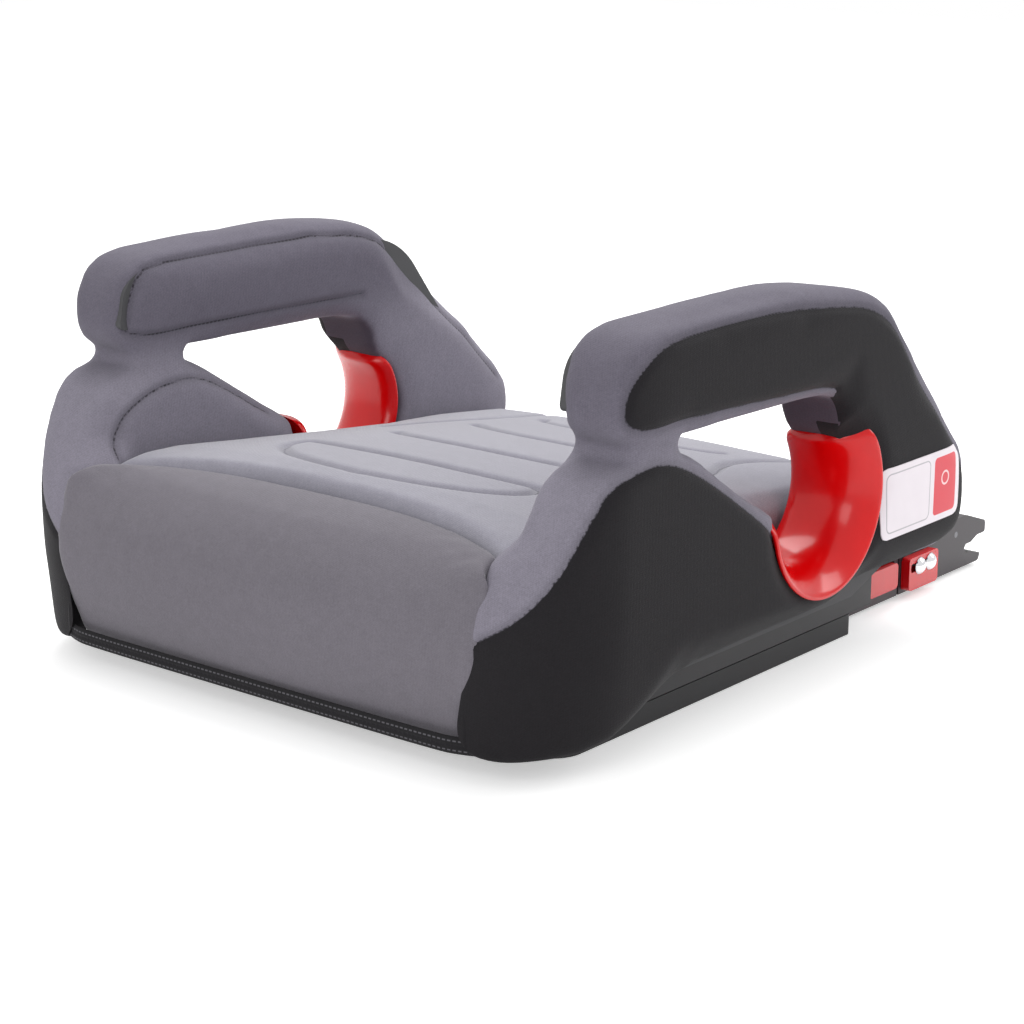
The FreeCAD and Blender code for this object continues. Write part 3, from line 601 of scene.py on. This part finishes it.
def clearGuide(points):
    # keeps the cloth behind the flared ends of the belt guide
    x, y, z = points.T
    far = np.hypot(y - beltGuide["axisY"], z - beltGuide["axisZ"])
    outer = np.interp(far, sideCover["guideReach"], sideCover["guideOuter"])
    inner = np.interp(far, sideCover["guideReach"], sideCover["guideInner"])
    return np.column_stack([np.clip(x, inner, outer), y, z])


def makeSideCovers(material):
    cover = sideCover
    outline = roundedOutline(cover["outline"])
    count = len(outline)
    piece = newPiece("side_pad_left", [(cover["inner"], y, z) for y, z in outline],
                     [(index, (index + 1) % count) for index in range(count)])
    bpy.ops.object.mode_set(mode="EDIT")
    bpy.ops.mesh.select_mode(type="EDGE")
    bpy.ops.mesh.select_all(action="SELECT")
    bpy.ops.mesh.edge_face_add()
    width = (cover["outer"] - cover["inner"]) * mm
    bpy.ops.mesh.extrude_region_move(TRANSFORM_OT_translate={"value": (width, 0, 0)})
    bpy.ops.mesh.select_all(action="SELECT")
    bpy.ops.mesh.normals_make_consistent(inside=False)
    bpy.ops.object.mode_set(mode="OBJECT")
    applyModifier(piece, "REMESH", mode="VOXEL", voxel_size=cover["voxel"] * mm)
    applyModifier(piece, "SMOOTH", factor=0.5, iterations=3)
    writePoints(piece, rollEdges(readPoints(piece), np.array(outline)))
    applyModifier(piece, "SMOOTH", factor=0.5, iterations=6)
    writePoints(piece, planRounding(readPoints(piece)))
    applyModifier(piece, "SMOOTH", factor=0.5, iterations=2)

    def hold(points):
        # the cloth stays put along the foot and round the belt guide
        far = np.hypot(points[:, 1] - beltGuide["axisY"], points[:, 2] - beltGuide["axisZ"])
        return soften(30, 60, points[:, 2]) * soften(43, 70, far)

    swell(piece, 2.2, 2.0, hold)
    applyModifier(piece, "SMOOTH", factor=0.5, iterations=7)
    writePoints(piece, clearGuide(readPoints(piece)))
    applyModifier(piece, "SUBSURF", levels=1, render_levels=1)
    outer = [ontoSurface(piece, smoothPath(cover[name])) for name in ("bolsterSeam", "armSeam")]
    inner = [ontoSurface(piece, smoothPath(cover[name])) for name in ("innerBolsterSeam", "innerArmSeam")]
    points = readPoints(piece)
    gap, _ = seamDistance(points, np.vstack(outer))
    behindGuide = [(30, 60), (76, 100), (69, 148), (66, 161)]
    ends = [(-240, 80), *outer[0][:, 1:], *behindGuide, *outer[1][:, 1:], (160, 0), (-240, 0)]
    inside = insideOutline(points[:, 1], points[:, 2], np.array([tuple(end) for end in ends]))
    half = np.where((points[:, 1] < -150) & (points[:, 2] < 110), 120, cover["middle"])
    half = np.where((points[:, 1] > 60) & (points[:, 2] > 150), 203, half)
    inside &= points[:, 0] > half
    setAttribute(piece, "panel", np.where(inside, 1, -1) * np.minimum(gap, 20) * mm)
    pressSeams(piece, outer + inner, 1.3, 2.3)
    # marks the front-facing rear wall of the gap, below the armrest, for its painted shade
    wall = soften(0.3, 0.75, -readNormals(piece)[:, 1])
    setAttribute(piece, "gapShade", wall * (points[:, 1] > 40) * soften(176, 168, points[:, 2]))
    piece.data.materials.append(material)
    smoothShade(piece, 60)
    other = piece.copy()
    other.data = piece.data.copy()
    other.name = "side_pad_right"
    scene.collection.objects.link(other)
    other.data.transform(Matrix.Scale(-1, 4, (1, 0, 0)))
    other.data.flip_normals()
    addSoft(piece, "charcoal_fabric", 0.8, "side_cover_left")
    addSoft(other, "charcoal_fabric", 0.8, "side_cover_right")
    print("side covers:", len(piece.data.polygons), "faces each")
    return piece, other


# ---- seat pad and front pad

seatPad = {
    "half": 156,
    "rear": 197,
    "floor": 68,
    "grid": 3.2,
    "edgeDrop": 10,
    "edgeWidth": 11,
    "lengths": (-205, -172, -150, -120, -60, 0, 60, 120, 198),
    "centre": (117, 119.5, 122.5, 125, 122, 117, 110, 102, 88),
    "border": (114, 117, 118, 117, 110, 103, 97, 93, 86),
    "channels": [  # x, y from the middle to the left; each is mirrored
        [(0, -70), (45, -68), (88, -61)],
        [(0, -118), (40, -113), (70, -102), (88, -86), (92, -70), (88, -61)],
        [(0, -12), (30, -10), (62, -3), (80, 5)],
        [(0, 53), (25, 55), (50, 63), (75, 76)],
        [(0, 118), (35, 121), (62, 132), (72, 143)],
        [(118, 38), (113, 64), (104, 90), (96, 112), (95, 139), (100, 170), (101, 199)],
    ],
}


def seatHeight(x, y):
    pad = seatPad
    share = np.clip(np.abs(x) / 150, 0, 1.1) ** 2.0
    centre = np.interp(y, pad["lengths"], pad["centre"])
    border = np.interp(y, pad["lengths"], pad["border"])
    return centre * (1 - share) + border * share


def frontSeam(x):
    # the seam between seat and front pad runs forward towards the bolsters
    return -148 - 25 * (np.abs(x) / 150) ** 3.2


def gridPiece(name, columns, rows, shape):
    # a closed pad: shape(u, v, under) gives its upper skin and, with under set, its lower skin
    u, v = np.meshgrid(np.linspace(-1, 1, columns), np.linspace(0, 1, rows))
    u, v = u.ravel(), v.ravel()
    points = np.vstack([shape(u, v, False), shape(u, v, True)])
    total = columns * rows
    faces = []
    for row in range(rows - 1):
        for column in range(columns - 1):
            a = row * columns + column
            faces.append((a, a + 1, a + columns + 1, a + columns))
            faces.append((a + total, a + columns + total, a + columns + 1 + total, a + 1 + total))
    rim = [*range(columns), *range(2 * columns - 1, total, columns),
           *range(total - 2, total - columns - 1, -1), *range(total - 2 * columns, 0, -columns)]
    for here, ahead in zip(rim, rim[1:] + rim[:1]):
        faces.append((ahead, here, here + total, ahead + total))
    piece = newPiece(name, points.tolist(), faces=faces)
    faceOutward(piece)
    return piece


def makeSeatPad(material):
    pad = seatPad

    def shape(u, v, under):
        x = u * pad["half"]
        front = frontSeam(x) + 1.0
        y = front + v * (pad["rear"] - front)
        if under:
            return np.column_stack([x * 0.985, y * 0.985, np.full(len(x), float(pad["floor"]))])
        edge = np.minimum(np.minimum(pad["half"] - np.abs(x), y - front), pad["rear"] - y)
        dip = pad["edgeDrop"] * np.clip(1 - edge / pad["edgeWidth"], 0, 1) ** 2.2
        return np.column_stack([x, y, seatHeight(x, y) - dip])

    columns = round(2 * pad["half"] / pad["grid"])
    rows = round((pad["rear"] + 150) / pad["grid"])
    piece = gridPiece("seat_pad", columns, rows, shape)
    swell(piece, 2.5, 3.0, lambda points: soften(80, 95, points[:, 2]) * soften(-172, -140, points[:, 1]))
    applyModifier(piece, "SUBSURF", levels=1, render_levels=1)
    seams = []
    for half in pad["channels"]:
        for side in (1, -1):
            path = smoothPath([(side * x, y, 0) for x, y in half])
            path[:, 2] = seatHeight(path[:, 0], path[:, 1])
            seams.append(ontoSurface(piece, path))
    points = readPoints(piece)
    pressSeams(piece, seams, 3.0, 3.4)
    piece.data.materials.append(material)
    smoothShade(piece, 70)
    addSoft(piece, "seat_fabric", 0.6, "seat_cushion")
    print("seat pad:", len(piece.data.polygons), "faces")


frontPad = {
    "profile": [  # forward reach and height, from the hem up to the seam with the seat
        (-197, 17), (-202, 25), (-205.5, 45), (-207, 66), (-205, 86), (-198, 102), (-184, 113),
        (-166, 119), (-148, 121.5),
    ],
    "halfWidths": (151, 153, 157, 162, 164.5, 164, 162, 158, 155),
    "bow": 4.0,
    "thickness": 9,
    "columns": 96,
    "rows": 52,
}


def makeFrontPad(material):
    pad = frontPad
    profile = smoothPath([(0, y, z) for y, z in pad["profile"]], 2.0)
    reach = np.concatenate([[0], np.cumsum(np.linalg.norm(np.diff(profile, axis=0), axis=1))])
    reach /= reach[-1]
    marks = np.linspace(0, 1, len(pad["halfWidths"]))

    def shape(u, v, under):
        half = np.interp(v, marks, pad["halfWidths"])
        x = u * half
        y = np.interp(v, reach, profile[:, 1])
        z = np.interp(v, reach, profile[:, 2])
        upper = soften(0.55, 1.0, v)
        y = y + pad["bow"] * u ** 2 * (1 - upper) + upper * (frontSeam(x) + 148)
        z = z + upper * (seatHeight(x, y) - seatHeight(0 * x, y)) * 0.8
        edge = np.minimum(np.minimum((1 - np.abs(u)) * half, (1 - v) * 150), v * 150)
        dip = 1.8 * np.clip(1 - edge / 6, 0, 1) ** 2
        inward = soften(0.45, 0.9, v)
        step = dip + (pad["thickness"] if under else 0)
        return np.column_stack([x, y + step * (1 - inward), z - step * inward])

    piece = gridPiece("front_panel", pad["columns"], pad["rows"], shape)
    swell(piece, 2.0, 2.5, lambda points: soften(26, 50, points[:, 2]))
    applyModifier(piece, "SUBSURF", levels=1, render_levels=1)
    top = smoothPath([(x, frontSeam(abs(x)) - 4, 121) for x in range(-140, 141, 20)])
    top[:, 2] = seatHeight(top[:, 0], top[:, 1])
    pressSeams(piece, [ontoSurface(piece, top)], 0.4, 1.6)
    piece.data.materials.append(material)
    smoothShade(piece, 70)
    addSoft(piece, "grey_fabric", 0.6, "front_pad")
    print("front panel:", len(piece.data.polygons), "faces")


rearPad = {"half": 156, "low": 40, "high": 66, "front": 196, "rear": 205}


def makeRearPad(material):
    pad = rearPad

    def shape(u, v, under):
        x = u * pad["half"]
        z = pad["low"] + v * (pad["high"] - pad["low"])
        edge = np.minimum(np.minimum(v, 1 - v) * (pad["high"] - pad["low"]), (1 - np.abs(u)) * pad["half"])
        bulge = 3.5 * (1 - np.clip(1 - edge / 12, 0, 1) ** 2)
        y = np.full(len(x), float(pad["front"])) if under else pad["rear"] - 3.5 + bulge
        return np.column_stack([x, y, z])

    piece = gridPiece("rear_panel", 70, 8, shape)
    applyModifier(piece, "SUBSURF", levels=1, render_levels=1)
    hem = smoothPath([(-150, 205, 45), (0, 205, 45), (150, 205, 45)])
    pressSeams(piece, [ontoSurface(piece, hem)], 0.8, 1.8)
    piece.data.materials.append(material)
    smoothShade(piece, 70)
    addSoft(piece, "grey_fabric", 0.5, "rear_pad")
    print("rear panel done")


# ---- binding along the hem

binding = {
    "route": [  # x, y from the middle of the front round to the side
        (0, -206.3), (120, -205.8), (150, -203), (170, -192), (182, -174), (187.5, -150), (188.5, -118),
    ],
    "low": 15.5,
    "high": 26,
    "thickness": 2.6,
}


def makeBinding(material):
    strip = binding
    half = smoothPath([(x, y, 0) for x, y in strip["route"]], 6)
    route = np.vstack([half[:0:-1] * (-1, 1, 1), half])
    ahead = np.gradient(route, axis=0)
    ahead /= np.linalg.norm(ahead, axis=1, keepdims=True)
    outward = np.column_stack([ahead[:, 1], -ahead[:, 0], 0 * ahead[:, 0]])
    tall = (strip["high"] - strip["low"]) / 2
    middle = (strip["high"] + strip["low"]) / 2
    section = [
        (-1.0, -0.82), (-0.2, -1.0), (0.6, -0.8), (1.0, -0.35), (0.8, 0.0), (1.0, 0.35), (0.6, 0.8),
        (-0.2, 1.0), (-1.0, 0.82),
    ]
    points = []
    faces = []
    for index, (place, out) in enumerate(zip(route, outward)):
        for deep, high in section:
            level = np.array([0, 0, middle + tall * high])
            points.append(tuple(place + out * deep * strip["thickness"] / 2 + level))
        if index:
            for step in range(len(section)):
                a = (index - 1) * len(section) + step
                b = (index - 1) * len(section) + (step + 1) % len(section)
                faces.append((a, b, b + len(section), a + len(section)))
    faces.append(tuple(range(len(section) - 1, -1, -1)))
    faces.append(tuple(range(len(points) - len(section), len(points))))
    piece = newPiece("hem_binding", points, faces=faces)
    faceOutward(piece)
    applyModifier(piece, "SUBSURF", levels=1, render_levels=1)
    path = route + outward * strip["thickness"] / 2 + np.array([0, 0, middle])
    pressSeams(piece, [path], 0.2, 1.0)
    piece.data.materials.append(material)
    smoothShade(piece, 60)
    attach(piece, "root")
    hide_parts("cover_binding")
    print("binding done")


# ---- red belt guides

beltGuide = {
    "axisY": 48,
    "axisZ": 110,
    "from": -182,
    "to": 46,
    "steps": 44,
    "wall": 3.2,
    "throat": [  # x, distance from the axis
        (157.6, 44), (160, 41), (165, 38.8), (173, 38), (183, 38.2), (193, 39.4), (202, 42.4), (208.5, 46.8),
        (213, 51.6), (214.9, 54.3),
    ],
    "cornerRound": 13,
    "cornerReach": 46,
    "middle": 186,
    "halfWidth": 29,
}


def makeBeltGuides(material):
    guide = beltGuide
    throat = smoothPath([(x, r, 0) for x, r in guide["throat"]], 3.0)[:, :2]
    ahead = np.gradient(throat, axis=0)
    ahead /= np.linalg.norm(ahead, axis=1, keepdims=True)
    outside = throat + np.column_stack([-ahead[:, 1], ahead[:, 0]]) * guide["wall"]
    lip = [tuple(throat[-1] + (outside[-1] - throat[-1]) * 0.5 + ahead[-1] * 1.6)]
    back = [tuple(throat[0] + (outside[0] - throat[0]) * 0.5 - ahead[0] * 1.4)]
    section = [tuple(p) for p in throat] + lip + [tuple(p) for p in outside[::-1]] + back
    count = len(section)
    points = []
    faces = []
    steps = guide["steps"]
    span = math.radians(guide["to"] - guide["from"])
    for step in range(steps + 1):
        share = step / steps
        angle = math.radians(guide["from"]) + span * share
        fromEnd = min(share, 1 - share) * span * guide["cornerReach"]
        tuck = guide["cornerRound"] * (1 - math.sqrt(1 - max(0, 1 - fromEnd / guide["cornerRound"]) ** 2))
        for x, r in section:
            x = guide["middle"] + (x - guide["middle"]) * (1 - tuck / guide["halfWidth"])
            points.append((x, guide["axisY"] + r * math.cos(angle), guide["axisZ"] + r * math.sin(angle)))
        if step:
            for index in range(count):
                a = (step - 1) * count + index
                b = (step - 1) * count + (index + 1) % count
                faces.append((a, b, b + count, a + count))
    faces.append(tuple(range(count)))
    faces.append(tuple(range(len(points) - 1, len(points) - count - 1, -1)))
    for name, side in (("left", 1), ("right", -1)):
        piece = newPiece(f"red_guide_{name}", [(side * x, y, z) for x, y, z in points], faces=faces)
        faceOutward(piece)
        applyModifier(piece, "SUBSURF", levels=1, render_levels=1)
        piece.data.materials.append(material)
        smoothShade(piece, 50)
        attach(piece, "root")
        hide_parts(f"belt_guide_{name}")
    print("belt guides done")


# ---- plain information label

label = {
    "front": 104,
    "rear": 193,
    "low": 74.5,
    "high": 118.5,
    "round": 6,
    "lift": 0.7,
    "columns": 90,
    "rows": 46,
}


def labelFilm():
    # white film with a thin grey outline and a plain red block; no lettering
    shader = Shader("labelFilm")
    across = shader.attribute("across")
    upward = shader.attribute("upward")

    def boxDistance(left, right, low, high, radius):
        # signed distance to a rounded box, negative inside
        wide = (across - (left + right) / 2).maths("ABSOLUTE") - ((right - left) / 2 - radius)
        tall = (upward - (low + high) / 2).maths("ABSOLUTE") - ((high - low) / 2 - radius)
        far = (wide.maths("MAXIMUM", 0.0) * wide.maths("MAXIMUM", 0.0)
               + tall.maths("MAXIMUM", 0.0) * tall.maths("MAXIMUM", 0.0)).maths("SQRT")
        return far + wide.maths("MAXIMUM", tall).maths("MINIMUM", 0.0) - radius

    block = boxDistance(58, 84, 4, 40, 3).within(0.25, -0.25)
    border = boxDistance(5, 53, 4, 40, 4).maths("ABSOLUTE").within(0.6, 0.25)
    window = boxDistance(67, 75, 22, 30, 4).maths("ABSOLUTE").within(0.8, 0.4)
    smudge = shader.noise(60, 3.0, 0.6)
    white = shader.mix(smudge * 0.4, tint(236, 228, 234), tint(214, 204, 212))
    outlined = shader.mix(border * 0.55, white, tint(120, 118, 126))
    printed = shader.mix(block, outlined, tint(216, 28, 52))
    shader.feed(shader.surface, {
        "Base Color": shader.mix(window * block * 0.8, printed, tint(245, 225, 228)),
        "Roughness": smudge * 0.15 + 0.25,
        "Normal": shader.bump(smudge, 0.05, 0.0003),
    })
    return shader.material


def makeLabel(cover):
    card = label
    tree = BVHTree.FromObject(cover, bpy.context.evaluated_depsgraph_get())
    width, height = card["rear"] - card["front"], card["high"] - card["low"]

    def shape(u, v, under):
        across, upward = (u + 1) / 2 * width, v * height
        inset = np.maximum(0, card["round"] - np.minimum(upward, height - upward))
        pull = card["round"] - np.sqrt(np.maximum(0, card["round"] ** 2 - inset ** 2))
        across = pull + across * (width - 2 * pull) / width
        points = []
        for y, z in zip(card["front"] + across, card["low"] + upward):
            hit = tree.ray_cast(Vector((0.3, y * mm, z * mm)), Vector((-1, 0, 0)))[0]
            points.append((hit.x / mm + (0.1 if under else card["lift"]), y, z))
        return np.array(points)

    piece = gridPiece("plain_label", card["columns"], card["rows"], shape)
    points = readPoints(piece)
    setAttribute(piece, "across", points[:, 1] - card["front"])
    setAttribute(piece, "upward", points[:, 2] - card["low"])
    piece.data.materials.append(labelFilm())
    smoothShade(piece, 40)
    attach(piece, "root")
    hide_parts("information_label")
    print("label done")


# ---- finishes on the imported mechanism

def finishMechanism():
    blackPlastic = moulded("blackPlastic", (30, 29, 32), 0.42, 0.25)
    casePlastic = moulded("casePlastic", (58, 53, 57), 0.38, 0.2)
    corePlastic = moulded("corePlastic", (70, 70, 72), 0.6, 0.4)
    redPlastic = moulded("redTabPlastic", (205, 8, 18), 0.22, 0.04, 0.5)
    steel = metal("armSteel", (150, 150, 155), 0.34, (1, 12, 1))
    screwSteel = metal("screwSteel", (120, 120, 124), 0.4, (6, 6, 1))
    springSteel = metal("springSteel", (165, 165, 170), 0.3, (8, 1, 8))
    chrome = metal("rivetChrome", (235, 235, 238), 0.12, (1, 1, 1))
    finishes = {
        "base_tray": blackPlastic, "upper_shell": blackPlastic, "base_screws": screwSteel,
        "side_core": corePlastic, "slide_case": casePlastic, "adjust_button": redPlastic,
        "adjust_spring": springSteel, "connector_arm": steel, "connector_housing": casePlastic,
        "release_slider": redPlastic, "release_spring": springSteel, "side_rivets": chrome,
        "latch_hook": steel, "hook_pin": screwSteel,
    }
    for name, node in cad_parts.items():
        kind = name.removesuffix("_left").removesuffix("_right")
        if kind in finishes:
            for place in node.material_slots:
                place.material = finishes[kind]
    print("mechanism finished")


# ---- floor and backdrop

def studioWhite(shader, shown):
    # 1 for the rays that show the backdrop: camera, mirror and glass
    path = shader.node("ShaderNodeLightPath")
    outputs = path.socket.node.outputs
    lens = Wire(shader, outputs["Is Camera Ray"])
    glossy = Wire(shader, outputs["Is Glossy Ray"])
    clear = Wire(shader, outputs["Is Transmission Ray"])
    return lens.maths("MAXIMUM", glossy).maths("MAXIMUM", clear) * shown


def makeStudio():
    bpy.ops.mesh.primitive_plane_add(size=studio["floorSize"] * mm, location=(0, 0, -0.0005))
    floor = bpy.context.object
    floor.name = "floor"
    selectOnly(floor)
    bpy.ops.object.transform_apply()
    shader = Shader("floorPaper")
    shader.feed(shader.surface, {"Base Color": tint(*studio["floorColour"]), "Roughness": 0.9,
                                 "Specular IOR Level": 0.1, "Emission Color": (1, 1, 1, 1),
                                 "Emission Strength": studioWhite(shader, studio["floorGlow"])})
    floor.data.materials.append(shader.material)
    world = bpy.data.worlds.new("studioWorld")
    scene.world = world
    world.use_nodes = True
    tree = world.node_tree
    light = tree.nodes["Background"]
    light.inputs["Color"].default_value = (1, 1, 1, 1)
    holder = Shader.__new__(Shader)
    holder.tree = tree
    shown = studioWhite(holder, 1.0)
    strength = shown * (1 - studio["worldStrength"]) + studio["worldStrength"]
    tree.links.new(strength.socket, light.inputs["Strength"])
    scene.view_settings.view_transform = "Standard"


makeCamera()
makeLamps()
makeStudio()
print("camera, lamps and floor ready")

# the side cloth's third colour is the bolster cloth under the armrest's painted shade
leftCover, rightCover = makeSideCovers(
    sideFabric("sideFabric", (30, 28, 31), (130, 126, 138), (103, 99, 111), 0.4, 0.09))
seatFabric = plainFabric("seatFabric", (146, 144, 155), 0.35, 0.5)
# the front panel's cloth is set darker than the seat's: partly its own tone, partly painted shade for the
# weaker light on the front face
panelFabric = plainFabric("panelFabric", (112, 108, 116), 0.35, 0.28)
makeSeatPad(seatFabric)
makeFrontPad(panelFabric)
makeRearPad(panelFabric)
makeBinding(plainFabric("bindingFabric", (33, 32, 34), 0.5, 0.05, 0.25))
makeBeltGuides(moulded("redPlastic", (212, 0, 4), 0.2, 0.02, 0.15))
makeLabel(leftCover)
finishMechanism()
